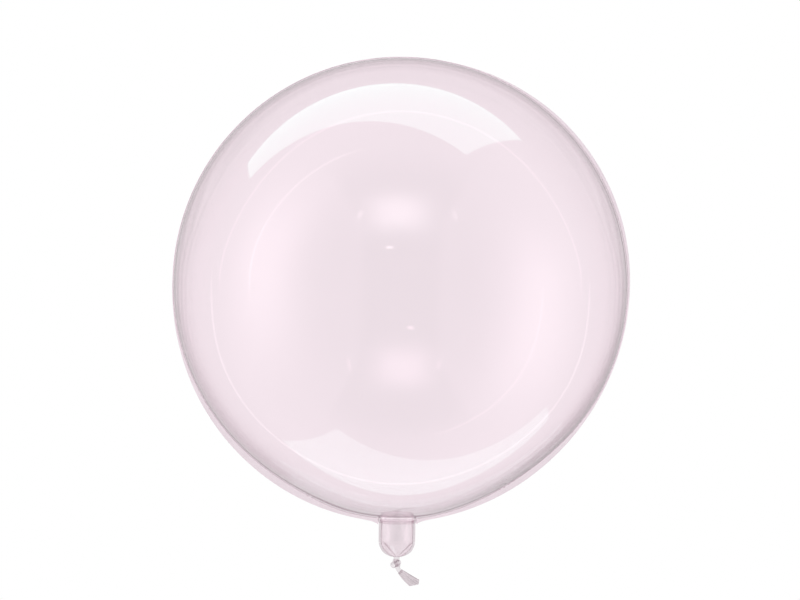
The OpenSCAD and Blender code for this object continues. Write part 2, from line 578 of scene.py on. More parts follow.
@dataclass
class Ball:
    """The two blown-up skins and the weld that joins them.

    The spread of the droop is in degrees. The fade at the foot and the weld's run-out are in
    radians of the angle from straight down.
    """

    layout: Layout
    droop: float = 6.3 * MM
    droop_spread: float = 21.0
    foot_reach: float = 18.5 * MM
    foot_fade: float = 0.15
    foot_corner_drop: float = 0.3 * MM
    collar_radius: float = 14.4 * MM
    collar_height: float = 3.2 * MM
    mouth_radius: float = 15.3 * MM
    mouth_rise: float = 1.4 * MM
    sag: float = 0.055
    sag_fade: float = 0.38
    wall: float = 0.15 * MM
    columns: int = 193
    ball_rows: int = 150
    row_crowding: float = 0.25
    foot_rows: int = 24
    collar_rows: int = 16
    weld_out: float = 0.8 * MM
    weld_half_width: float = 1.1 * MM
    weld_half_depth: float = 0.35 * MM
    weld_overlap: float = 1.0 * MM
    weld_run_out: float = 0.02
    weld_rows: int = 900
    weld_columns: int = 14
    fold_depth: float = 0.8 * MM
    fold_length: float = 9.0 * MM
    fold_waves: tuple[Wave, ...] = (Wave(9.0, 0.55, 1.3), Wave(14.0, 0.30, 0.4),
                                    Wave(5.0, 0.25, 2.0))
    pucker_depth: float = 12.0 * MM
    swells: tuple[Swell, ...] = (
        Swell(angle=255.0, height=1.0 * MM, spread=8.0),
        Swell(angle=308.0, height=-2.1 * MM, spread=18.0),
    )
    puckers: tuple[Pucker, ...] = (
        Pucker(angle=298.0, height=0.8 * MM, spread=2.4, pitch=4.5 * MM),
        Pucker(angle=247.0, height=0.7 * MM, spread=1.8, pitch=5.0 * MM),
        Pucker(angle=322.0, height=0.3 * MM, spread=3.0, pitch=6.0 * MM),
        Pucker(angle=212.0, height=0.3 * MM, spread=3.0, pitch=7.0 * MM),
        Pucker(angle=187.0, height=0.2 * MM, spread=2.5, pitch=5.5 * MM),
        Pucker(angle=16.0, height=0.25 * MM, spread=3.0, pitch=6.0 * MM),
        Pucker(angle=64.0, height=0.2 * MM, spread=3.0, pitch=7.0 * MM),
        Pucker(angle=128.0, height=0.2 * MM, spread=3.0, pitch=6.5 * MM),
    )

    def outline(self, down: Array) -> Array:
        """Distance of the skin from the ball's centre.

        It is the ball's radius all round, and droops towards the neck as a bell of the angle.

        Args:
            down: angle from straight down, from 0 to pi.

        Returns:
            The distance at each angle.
        """
        spread = math.radians(self.droop_spread)
        return self.layout.ball_radius + self.droop * bell(down, 0.0, spread)

    def down_at(self, reach: float) -> float:
        """The angle from straight down at which the skin is reach away from the axis."""
        angles = np.linspace(1e-4, 0.5, 4000)
        return float(np.interp(reach, self.outline(angles) * np.sin(angles), angles))

    def clear_of_foot(self, down: Array, start: float) -> Array:
        """Runs from 0 where the skin starts beside the neck to 1 above its foot."""
        return ease(down, start, start + self.foot_fade)

    def round_weld(self, reach: float, count: int) -> tuple[Array, Array, Array]:
        """Places in the plane of the weld, from one side of the neck round to the other.

        Args:
            reach: distance of the first and the last from the axis.
            count: how many there are.

        Returns:
            The angles round the ball, the angles from straight down, and the unit vectors.
        """
        start = self.down_at(reach)
        around = np.linspace(start, 2.0 * np.pi - start, count) - np.pi / 2.0
        down = np.pi - np.abs(around - np.pi / 2.0)
        return around, down, np.stack([np.cos(around), np.zeros_like(around), np.sin(around)], axis=-1)

    def collar(self) -> tuple[Array, Array]:
        """Radii and heights of the way from the ball's foot down to its mouth.

        A rounded shoulder, which is a quadratic curve with its corner on the collar, leads into
        the collar, and the collar flares a little where it meets the neck.

        Returns:
            The distances from the axis and the heights, from the foot down.
        """
        foot = self.down_at(self.foot_reach)
        foot_height = self.layout.ball_height - float(self.outline(np.array(foot))) * math.cos(foot)
        mouth = self.layout.mouth_height + self.mouth_rise
        t = np.linspace(0.0, 1.0, self.foot_rows)
        start = (self.foot_reach, foot_height)
        corner = (self.collar_radius, foot_height - self.foot_corner_drop)
        end = (self.collar_radius, mouth + self.collar_height)
        curve = [(1.0 - t) ** 2 * a + 2.0 * t * (1.0 - t) * b + t**2 * c
                 for a, b, c in zip(start, corner, end)]
        run = np.linspace(0.0, 1.0, self.collar_rows)[1:]
        flare = self.collar_radius + (self.mouth_radius - self.collar_radius) * run**3
        return (np.concatenate([curve[0], flare]),
                np.concatenate([curve[1], end[1] + (mouth - end[1]) * run]))

    def sagging(self, ahead: Array) -> Array:
        """How far the front and back walls hang: in above the middle and out below it.

        It grows as the square of the height, and fades out towards the weld.

        Args:
            ahead: unit vectors from the ball's centre.

        Returns:
            The offset along each of them.
        """
        high = ahead[..., 2] / np.maximum(np.hypot(ahead[..., 1], ahead[..., 2]), 1e-9)
        off_weld = np.abs(ahead[..., 1])
        fade = off_weld * (2.0 - off_weld) * ease(off_weld, 0.0, self.sag_fade)
        return -self.sag * self.layout.ball_radius * high * np.abs(high) * fade

    def swollen(self, ahead: Array) -> Array:
        """Height of the broad rises, as a bell of the angle from each one's middle.

        Args:
            ahead: unit vectors from the ball's centre.

        Returns:
            The height at each of them.
        """
        total = np.zeros(ahead.shape[:-1])
        for swell in self.swells:
            turn = math.radians(swell.angle)
            middle = np.array([math.cos(turn), 0.0, math.sin(turn)])
            away = np.degrees(np.arccos(np.clip(ahead @ middle, -1.0, 1.0)))
            total += swell.height * bell(away, 0.0, swell.spread)
        return total

    def puckered(self, around: Array, off_weld: Array) -> Array:
        """Height of the wrinkles: waves along the weld under a bell, fading away from the weld.

        Args:
            around: angle round the ball in the plane of the weld.
            off_weld: distance from that plane.

        Returns:
            The height at each point.
        """
        total = np.zeros(np.broadcast(around, off_weld).shape)
        for pucker in self.puckers:
            away = np.angle(np.exp(1j * (around - math.radians(pucker.angle))))
            wave = np.cos(away * self.layout.ball_radius * 2.0 * np.pi / pucker.pitch)
            total += pucker.height * bell(away, 0.0, math.radians(pucker.spread)) * wave
        return total * np.exp(-off_weld / self.pucker_depth)

    def folds(self, around_neck: Array) -> Array:
        """Depth of the soft pleats round the mouth: three waves of the angle round the axis."""
        return self.fold_depth * add_up(self.fold_waves, around_neck)

    def skin_points(self, side: Side) -> Array:
        """The skin as a function of the angle from straight down and the angle round the axis.

        Each point stands off the ball's centre by the outline, the swells, the sag and the
        puckers. Below the foot the collar's profile is carried round the axis. The pleats of the
        mouth move each point away from the axis, full on the collar and fading with the distance
        from it.

        Args:
            side: which film.

        Returns:
            The grid, from the top of the ball down to its mouth.
        """
        foot = self.down_at(self.foot_reach)
        share = np.linspace(0.0, 1.0, self.ball_rows)
        crowded = share + self.row_crowding * share * (1.0 - share)
        down = (np.pi + (foot - np.pi) * crowded)[:, None]
        turn = np.linspace(0.0, np.pi, self.columns)[None, :] * side.value
        ahead = np.stack([np.sin(down) * np.cos(turn), np.sin(down) * np.sin(turn),
                          -np.cos(down) * np.ones_like(turn)], axis=-1)
        clear = self.clear_of_foot(down, foot)
        reach = self.outline(down) + (self.swollen(ahead) + self.sagging(ahead)) * clear
        around = np.arctan2(ahead[..., 2], ahead[..., 0])
        reach = reach + self.puckered(around, np.abs(reach * ahead[..., 1])) * clear
        points = ahead * reach[..., None] + np.array([0.0, 0.0, self.layout.ball_height])
        radius, height = (a[1:, None] * np.ones_like(turn) for a in self.collar())
        collar = np.stack([radius * np.cos(turn), radius * np.sin(turn), height], axis=-1)
        points = np.concatenate([points, collar])
        off_axis = np.concatenate([self.outline(down) * np.sin(down), radius[:, :1]])
        low = np.concatenate([down < np.pi / 2, np.ones_like(radius[:, :1], bool)])
        fade = np.exp(-np.maximum(off_axis - self.mouth_radius, 0.0) / self.fold_length) * low
        outward = np.stack([np.cos(turn), np.sin(turn), np.zeros_like(turn)], axis=-1)
        return points + (self.folds(turn) * fade)[..., None] * outward

    def skin(self, side: Side) -> bpy.types.Object:
        """Builds and dresses one skin.

        Args:
            side: which film.

        Returns:
            The piece.
        """
        name = side.name.lower()
        sheet = Sheet(f"ball_{name}_skin", self.skin_points(side), wall=self.wall,
                      flipped=side is Side.FRONT)
        piece = CLEAR_FILM.dress(sheet.build())
        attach(piece, "ball")
        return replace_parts(piece, f"ball_{name}_film", f"shoulder_{name}_film")

    def weld(self) -> bpy.types.Object:
        """Builds and dresses the weld: a flattened bead carried round the ball's outline.

        It stands a little outside the outline, rises with the swells and the puckers, and is
        rounded off at both ends beside the neck.

        Returns:
            The piece.
        """
        around, down, ahead = self.round_weld(self.layout.neck_half_width - self.weld_overlap,
                                              self.weld_rows)
        rise = self.swollen(ahead) + self.puckered(around, np.zeros_like(around))
        reach = self.outline(down) + self.weld_out + rise * self.clear_of_foot(down, down.min())
        near_end = np.minimum(down - down.min(), self.weld_run_out) / self.weld_run_out
        run_out = np.sqrt(np.clip(near_end, 0.0, 1.0))[:, None]
        turn = once_round(self.weld_columns)[None, :]
        out = self.weld_half_width * np.cos(turn) * run_out
        points = ahead[:, None] * (reach[:, None] + out)[..., None]
        points[..., 1] += self.weld_half_depth * np.sin(turn) * run_out
        points[..., 2] += self.layout.ball_height
        sheet = Sheet("ball_weld_bead", points, columns_closed=True, flipped=True)
        piece = WELD.dress(sheet.build())
        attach(piece, "ball")
        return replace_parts(piece, "ball_weld")

    def build(self) -> list[bpy.types.Object]:
        """Builds both skins and the weld."""
        return [self.skin(Side.FRONT), self.skin(Side.BACK), self.weld()]


# ---- The flat film outside the weld ----


@dataclass
class Margin:
    """The two flat plies that stand out beyond the weld, cut by hand and so not quite round.

    The spreads of the web and of the droop are in degrees.
    """

    ball: Ball
    wall: float = 0.12 * MM
    inset: float = 1.3 * MM
    gap: float = 0.22 * MM
    gap_wave: Wave = Wave(5.0, 1.0, 1.0)
    mean_width: float = 3.9 * MM
    wander: tuple[Wave, ...] = (
        Wave(1.0, 3.2 * MM, math.radians(80.0)),
        Wave(2.0, 2.2 * MM, math.radians(-123.0)),
        Wave(3.0, 0.9 * MM, math.radians(-86.0)),
    )
    least_width: float = 0.7 * MM
    web_rise: float = 3.0 * MM
    web_spread: float = 1.2
    droop: float = 1.0 * MM
    droop_spread: float = 20.0
    bends: tuple[Wave, ...] = (Wave(11.0, 0.35 * MM, 0.7), Wave(23.0, 0.22 * MM, 2.1),
                               Wave(37.0, 0.12 * MM, 4.0))
    bend_power: float = 1.5
    rows: int = 1000
    columns: int = 12

    def width(self, around: Array, down: Array) -> Array:
        """Width outside the ball: a mean, three waves of the angle, a droop and a web by the neck.

        Args:
            around: angle round the ball in the plane of the weld.
            down: angle from straight down.

        Returns:
            The width at each angle.
        """
        droop = self.droop * bell(down, 0.0, math.radians(self.droop_spread))
        web = self.web_rise * np.exp(-(down - down.min()) / math.radians(self.web_spread))
        return self.mean_width + add_up(self.wander, around) + droop + web

    def points(self, side: Side) -> Array:
        """The ply as a function of the angle round the ball and the share of its width.

        It starts just outside the ball's swollen outline, so the weld covers its inner edge. Three
        waves bend it to the front and back, more towards its outer edge, and the two plies part a
        little there.

        Args:
            side: which film.

        Returns:
            The grid, from one side of the neck round to the other.
        """
        layout = self.ball.layout
        around, down, ahead = self.ball.round_weld(layout.neck_half_width, self.rows)
        swell = self.ball.swollen(ahead) * self.ball.clear_of_foot(down, down.min())
        inner = self.ball.outline(down) + swell + self.inset
        outer = np.maximum(layout.ball_radius + self.width(around, down), inner + self.least_width)
        share = np.linspace(0.0, 1.0, self.columns)[None, :]
        reach = inner[:, None] + (outer - inner)[:, None] * share
        points = ahead[:, None] * reach[..., None]
        parted = self.gap + self.gap * share * (1.0 + self.gap_wave.at(around))[:, None]
        bend = add_up(self.bends, around)[:, None] * share**self.bend_power
        points[..., 1] += bend + side.value * parted
        points[..., 2] += layout.ball_height
        return points

    def ply(self, side: Side) -> bpy.types.Object:
        """Builds and dresses one ply.

        Args:
            side: which film.

        Returns:
            The piece.
        """
        name = side.name.lower()
        sheet = Sheet(f"margin_{name}_ply", self.points(side), wall=self.wall,
                      flipped=side is Side.BACK)
        piece = FLAT_FILM.dress(sheet.build())
        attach(piece, "ball")
        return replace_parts(piece, f"margin_{name}_film")

    def build(self) -> list[bpy.types.Object]:
        """Builds both plies."""
        return [self.ply(Side.FRONT), self.ply(Side.BACK)]


# ---- The neck and its gathers ----


@dataclass
class Neck:
    """The blown-up neck, from the ball's mouth down to where it is gathered into the tie."""

    ball: Ball
    wall: float = 0.12 * MM
    crease: float = 1.8 * MM
    crease_power: float = 1.5
    join_height: float = 13.0 * MM
    waist_radius: float = 2.9 * MM
    tube_rows: int = 60
    bowl_rows: int = 70
    throat_rows: int = 8
    row_crowding: float = 1.4
    columns: int = 121
    belly: Wave = Wave(4.0, 0.3 * MM, 0.6)
    belly_fade: float = 8.0 * MM
    mouth_pleat_fade: float = 4.0 * MM
    pleat_count: float = 12.0
    pleat_wind: float = 5.0
    pleat_drift: float = 0.6
    pleat_depth: float = 0.17
    pleat_growth: float = 1.8
    tuck_depth: float = 0.55
    tuck_width: float = 1.3 * MM
    tuck_foot: float = 1.2 * MM
    tuck_inset: float = 1.6 * MM
    tuck_skew: float = 0.08
    tuck_start: float = 0.12
    ring_width: float = 0.45 * MM
    ring_drop: float = 0.7
    ring_height: float = 0.75
    ring_folds: float = 0.6
    ring_rows: int = 145
    ring_columns: int = 16
    bend_length: float = 9.0 * MM
    twist_start: float = 3.2 * MM
    weld_half_width: float = 1.1 * MM
    weld_half_depth: float = 0.3 * MM
    weld_out: float = 0.8
    weld_round_off: float = 0.04
    weld_taper: float = 1.5
    weld_taper_power: float = 0.7
    weld_columns: int = 12
    weld_rows_above_collar: int = 3

    def profile(self) -> tuple[Array, Array, int]:
        """Radius and height of the wall, without its pleats.

        A crease leads from the mouth into a straight tube, a quarter circle closes the tube, and
        a short throat runs down through the tie.

        Returns:
            The radii, the heights, and the row where the tube ends.
        """
        layout = self.ball.layout
        top = layout.mouth_height + self.ball.mouth_rise
        step = np.linspace(0.0, 1.0, self.tube_rows) ** self.row_crowding
        height = top + (self.join_height - top) * step
        flare = np.clip(1.0 - (top - height) / self.crease, 0.0, 1.0) ** self.crease_power
        radius = layout.neck_radius + (self.ball.mouth_radius - layout.neck_radius) * flare
        first = math.asin((layout.bowl_height - self.join_height) / layout.neck_radius)
        last = math.acos(self.waist_radius / layout.neck_radius)
        curl = np.linspace(first, last, self.bowl_rows)[1:]
        bowl_radius = layout.neck_radius * np.cos(curl)
        bowl_height = layout.bowl_height - layout.neck_radius * np.sin(curl)
        throat_height = np.linspace(bowl_height[-1], 0.0, self.throat_rows)[1:]
        throat_radius = np.full(throat_height.shape, self.waist_radius)
        return (np.concatenate([radius, bowl_radius, throat_radius]),
                np.concatenate([height, bowl_height, throat_height]), self.tube_rows - 1)

    def bellied(self, turn: Array, height: Array) -> Array:
        """How far the tube's wall bulges: a wave round the axis, dying out at both ends.

        Args:
            turn: angle round the axis.
            height: height above the waist, from the mouth down.

        Returns:
            The bulge at each place.
        """
        in_tube = ease(height, self.join_height * 0.4, self.join_height * 1.3)
        return self.belly.at(turn) * in_tube * ease(height[0, 0] - height, 0.0, self.belly_fade)

    def pleated(self, turn: Array, height: Array) -> Array:
        """How much the fine pleats draw the wall in, as a share of its radius.

        They are a wave of the angle round the axis, unevenly spaced, which winds and deepens as
        the film is gathered, from the end of the tube down to the waist.

        Args:
            turn: angle round the axis.
            height: height above the waist.

        Returns:
            The share that is left at each place.
        """
        gathered = 1.0 - ease(height, 0.0, self.join_height)
        drift = self.pleat_drift * np.sin(3.0 * turn)
        pleats = 0.5 + 0.5 * np.cos(self.pleat_count * turn + self.pleat_wind * gathered + drift)
        return 1.0 - self.pleat_depth * pleats * gathered**self.pleat_growth

    def tucked(self, height: Array, aside: Array) -> Array:
        """How far the film is tucked in: along two straight lines that run in to the waist.

        Args:
            height: height above the waist.
            aside: distance from the middle, towards the welds.

        Returns:
            The tuck at each place, from 0 to 1.
        """
        share = np.clip(height / self.join_height, 0.0, 1.0)
        line = self.tuck_foot + (self.ball.layout.neck_radius - self.tuck_inset) * share
        skew = 1.0 + self.tuck_skew * np.sign(aside)
        faded = ease(1.0 - share, 0.0, self.tuck_start)
        return bell(np.abs(aside), line * skew, self.tuck_width) * faded

    def points(self, side: Side) -> Array:
        """The wall as a function of the distance down it and the angle round the axis.

        Below the tube the sides keep to a quarter circle, and the front and the back run in
        straight to the waist. Two tucks draw the film in along straight lines, and fine pleats,
        whose depth is a wave of the angle, grow towards the waist. At the mouth the wall has the
        same pleats as the ball.

        Args:
            side: which film.

        Returns:
            The grid, from the mouth down to the waist.
        """
        radius, height, _ = self.profile()
        radius, height = radius[:, None], height[:, None]
        turn = np.linspace(0.0, np.pi, self.columns)[None, :] * side.value
        widening = self.ball.layout.neck_radius - self.waist_radius
        straight = self.waist_radius + widening * height / self.join_height
        depth = np.where(height < self.join_height, np.minimum(straight, radius), radius)
        mouth_pleats = self.ball.folds(turn) * np.exp((height - height[0, 0]) / self.mouth_pleat_fade)
        more = self.bellied(turn, height) + mouth_pleats * ease(height, 0.0, self.join_height)
        shrink = self.pleated(turn, height)
        across = (radius + more) * shrink * np.cos(turn)
        tuck = 1.0 - self.tuck_depth * self.tucked(height, across)
        deep = (depth + more) * shrink * np.sin(turn) * tuck
        return np.stack([across, deep, height * np.ones_like(turn)], axis=-1)

    def lead_rows(self) -> int:
        """How many rows of the ball's skin the welds follow before they reach the neck."""
        return self.ball.collar_rows + self.weld_rows_above_collar

    def join_row(self) -> int:
        """The row of the side's line at which the tube ends."""
        return self.lead_rows() + self.profile()[2]

    def side_edge(self, hand: Hand) -> Array:
        """The line where the two films meet on one side.

        Args:
            hand: which side of the neck.

        Returns:
            Its points, from just above the collar down to the waist.
        """
        column = 0 if hand is Hand.RIGHT else -1
        collar = self.ball.skin_points(Side.FRONT)[-self.lead_rows() - 1:-1, column]
        return np.concatenate([collar, self.points(Side.FRONT)[:, column]])

    def bend(self, piece: bpy.types.Object) -> None:
        """Makes a piece bend from the ball to the neck, just below the mouth."""
        top = self.ball.layout.mouth_height
        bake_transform(piece, "ball", "neck", start=(0.0, 0.0, top),
                 end=(0.0, 0.0, top - self.bend_length))

    def skin(self, side: Side) -> bpy.types.Object:
        """Builds and dresses the tube's wall, which bends with the neck below the mouth.

        Args:
            side: which film.

        Returns:
            The piece.
        """
        name = side.name.lower()
        _, _, last = self.profile()
        sheet = Sheet(f"neck_{name}_skin", self.points(side)[:last + 1], wall=self.wall,
                      flipped=side is Side.FRONT)
        piece = NECK_FILM.dress(sheet.build())
        self.bend(piece)
        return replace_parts(piece, f"neck_{name}_film")

    def gather(self, side: Side) -> bpy.types.Object:
        """Builds the gathered end of the neck, which turns with the tie at its bottom.

        Args:
            side: which film.

        Returns:
            The piece.
        """
        name = side.name.lower()
        _, _, last = self.profile()
        sheet = Sheet(f"gather_{name}_folds", self.points(side)[last:], wall=self.wall,
                      flipped=side is Side.FRONT, crease_angle=70.0)
        piece = TUCKED_FILM.dress(sheet.build())
        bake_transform(piece, "neck", "waist", start=(0.0, 0.0, self.twist_start),
                 end=(0.0, 0.0, 0.2 * MM))
        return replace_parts(piece, f"gather_{name}_film")

    def crease_ring(self) -> bpy.types.Object:
        """Builds the doubled fold of film round the mouth.

        It is a flat oval carried round the axis, which follows the pleats of the mouth.

        Returns:
            The piece.
        """
        angle = once_round(self.ring_rows)[:, None]
        around = once_round(self.ring_columns)[None, :]
        middle = (self.ball.mouth_radius - self.ring_width
                  + self.ball.folds(angle) * self.ring_folds)
        radius = middle + self.ring_width * np.cos(around)
        mouth = self.ball.layout.mouth_height + self.ball.mouth_rise
        height = (mouth - self.ring_drop * self.crease
                  + self.ring_height * self.crease * np.sin(around))
        points = np.stack([radius * np.cos(angle), radius * np.sin(angle),
                           height * np.ones_like(angle)], axis=-1)
        sheet = Sheet("mouth_crease", points, columns_closed=True, rows_closed=True)
        piece = CREASED_FILM.dress(sheet.build())
        self.bend(piece)
        return piece

    def weld_points(self, hand: Hand, rows: slice, width: Array) -> Array:
        """A flat bead carried along the side of the neck, standing out by its own width.

        Args:
            hand: which side of the neck.
            rows: which rows of the side's line it follows.
            width: half its width at each row.

        Returns:
            The grid, closed round the bead.
        """
        edge = self.side_edge(hand)[rows]
        ahead = unit(np.gradient(edge, axis=0))
        out = np.stack([-ahead[:, 2], np.zeros(len(edge)), ahead[:, 0]], axis=-1) * hand.value
        out *= np.sign((out * edge)[:, :1].sum(axis=1, keepdims=True) + 1e-12)
        turn = once_round(self.weld_columns)
        depth = self.weld_half_depth * np.minimum(width / width.max() * 2.0, 1.0)
        aside = width[:, None] * (self.weld_out + np.cos(turn))
        points = edge[:, None] + out[:, None] * aside[..., None]
        points[..., 1] += depth[:, None] * np.sin(turn)
        return points

    def weld(self, hand: Hand) -> bpy.types.Object:
        """Builds the weld beside the collar and the tube, which bends as the tube does.

        Args:
            hand: which side of the neck.

        Returns:
            The piece.
        """
        step = np.linspace(0.0, 1.0, self.join_row() + 1)
        width = self.weld_half_width * np.sqrt(np.clip(step / self.weld_round_off, 0.0, 1.0))
        points = self.weld_points(hand, slice(0, self.join_row() + 1), width)
        name = hand.name.lower()
        sheet = Sheet(f"neck_{name}_weld", points, columns_closed=True, flipped=hand is Hand.RIGHT)
        piece = WELD.dress(sheet.build())
        self.bend(piece)
        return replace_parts(piece, f"neck_weld_{name}")

    def gathered_weld(self, hand: Hand) -> bpy.types.Object:
        """Builds the weld's gathered end, which narrows and runs out at the waist.

        Args:
            hand: which side of the neck.

        Returns:
            The piece.
        """
        count = len(self.side_edge(hand)) - self.join_row()
        step = np.linspace(1.0, 0.0, count)
        taper = np.clip(step * self.weld_taper, 0.0, 1.0) ** self.weld_taper_power
        width = self.weld_half_width * taper
        points = self.weld_points(hand, slice(self.join_row(), None), width)
        sheet = Sheet(f"gather_{hand.name.lower()}_weld", points, columns_closed=True,
                      flipped=hand is Hand.RIGHT)
        piece = WELD.dress(sheet.build())
        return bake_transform(piece, "neck", "waist", start=(0.0, 0.0, self.twist_start),
                        end=(0.0, 0.0, 0.2 * MM))

    def build(self) -> list[bpy.types.Object]:
        """Builds the neck's films, their gathered ends, the crease and the welds.

        Returns:
            The pieces.
        """
        made = [self.skin(side) for side in Side] + [self.gather(side) for side in Side]
        made.append(self.crease_ring())
        made += [self.weld(hand) for hand in Hand]
        return made + [self.gathered_weld(hand) for hand in Hand]


# ---- The knot ----


@dataclass(frozen=True)
class Ridges:
    """The ridges of a gathered strand: how many, how many turns they wind, and how deep they are."""

    lobes: int
    wind: float
    depth: float

    def on(self, radius: Array, columns: int) -> Array:
        """A strand's radius with ridges that wind round it as it runs on.

        Args:
            radius: the mean radius along the strand.
            columns: how many places there are round it.

        Returns:
            The radius at each place along the strand and angle round it.
        """
        along = np.linspace(0.0, 1.0, len(radius))[:, None]
        phase = once_round(columns)[None, :] + 2.0 * np.pi * self.wind * along
        wave = np.abs(np.cos(0.5 * self.lobes * phase)) ** 0.7 + 0.3 * np.cos(3.0 * phase + 1.0)
        return radius[:, None] * (1.0 - self.depth + self.depth * wave)


@dataclass
class Knot:
    """The overhand knot that the gathered neck is tied in; the turn's slope is in degrees."""

    neck: Neck
    rows: int = 90
    columns: int = 60
    waist_rows: int = 40
    waist_start: float = 0.25 * MM
    waist_overlap: float = 1.6 * MM
    waist_fullness: float = 0.98
    waist_pinch: float = 0.10
    waist_rounding: float = 0.05
    waist_ridges: Ridges = Ridges(lobes=6, wind=0.2, depth=0.2)
    core_ridges: Ridges = Ridges(lobes=5, wind=0.35, depth=0.18)
    core_overlap: float = 0.6 * MM
    core_lean: float = 0.9 * MM
    core_right: float = 0.3 * MM
    core_swell: float = 0.12
    core_rounding: float = 0.1
    strand_radius: float = 2.7 * MM
    turn_radius: float = 2.7 * MM
    turn_strand: float = 2.25 * MM
    turn_slope: float = 27.0
    turn_shift: float = 0.35 * MM
    turn_fullness: float = 0.14
    turn_flatness: float = 1.15
    turn_ridge_depth: float = 0.2

    def waist(self) -> bpy.types.Object:
        """Builds the twisted waist, between the gathers and the knot.

        Returns:
            The piece.
        """
        layout = self.neck.ball.layout
        height = np.linspace(self.waist_start, layout.knot_top - self.waist_overlap, self.waist_rows)
        path = np.stack([np.zeros_like(height), np.zeros_like(height), height], axis=-1)
        step = np.linspace(0.0, 1.0, self.waist_rows)
        pinched = self.waist_fullness - self.waist_pinch * np.sin(np.pi * step)
        radius = self.neck.waist_radius * pinched * round_ends(step, self.waist_rounding)
        points = strand(path, BACKWARDS, self.waist_ridges.on(radius, self.columns))
        sheet = Sheet("waist_twist", points, columns_closed=True, flipped=True)
        piece = GATHERED_FILM.dress(sheet.build())
        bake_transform(piece, "waist", "knot", start=(0.0, 0.0, 0.0), end=(0.0, 0.0, layout.knot_top))
        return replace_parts(piece, "throat")

    def core(self) -> bpy.types.Object:
        """Builds the strand that passes down through the knot, leaning over from left to right.

        Returns:
            The piece.
        """
        layout = self.neck.ball.layout
        step = np.linspace(0.0, 1.0, self.rows)
        top = layout.knot_top + self.core_overlap
        aside = self.core_lean * np.sin(np.pi * (step - 0.5)) + self.core_right
        height = top + (layout.knot_bottom - top) * step
        path = np.stack([aside, np.zeros_like(step), height], axis=-1)
        radius = self.strand_radius * (1.0 + self.core_swell * np.sin(2.0 * np.pi * step))
        radius = radius * round_ends(step, self.core_rounding)
        points = strand(path, BACKWARDS, self.core_ridges.on(radius, self.columns))
        sheet = Sheet("knot_strand", points, columns_closed=True, flipped=True)
        piece = GATHERED_FILM.dress(sheet.build())
        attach(piece, "knot")
        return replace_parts(piece, "knot_core")

    def turn(self) -> bpy.types.Object:
        """Builds the turn of the knot: a ridged ring, sloping down to the left and fuller there.

        Returns:
            The piece.
        """
        angle = once_round(self.rows)
        slope = math.radians(self.turn_slope)
        flat = self.turn_radius * np.cos(angle)
        middle = self.neck.ball.layout.turn_height + self.turn_shift
        path = np.stack([flat * math.cos(slope) - self.turn_shift,
                         1.02 * self.turn_radius * np.sin(angle),
                         middle + flat * math.sin(slope)], axis=-1)
        ahead = unit(np.roll(path, -1, axis=0) - np.roll(path, 1, axis=0))
        out = unit(path - path.mean(axis=0))
        out = unit(out - ahead * (out * ahead).sum(axis=-1, keepdims=True))
        second = np.cross(ahead, out)
        around = once_round(self.columns)[None, :]
        ridged = self.turn_ridge_depth * np.abs(np.cos(3.0 * (around + angle[:, None]))) ** 0.7
        uneven = 0.05 * np.cos(2.0 * angle[:, None] + around)
        full = self.turn_strand * (1.0 - self.turn_fullness * np.cos(angle))[:, None]
        radius = full * (1.0 - self.turn_ridge_depth + ridged + uneven)
        up = self.turn_flatness * radius * np.sin(around)
        points = (path[:, None] + out[:, None] * (radius * np.cos(around))[..., None]
                  + second[:, None] * up[..., None])
        sheet = Sheet("knot_turn", points, columns_closed=True, rows_closed=True, flipped=True)
        piece = GATHERED_FILM.dress(sheet.build())
        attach(piece, "knot")
        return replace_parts(piece, "knot_wrap")

    def build(self) -> list[bpy.types.Object]:
        """Builds the waist, the strand through the knot and its turn."""
        return [self.waist(), self.core(), self.turn()]


# ---- The tail ----


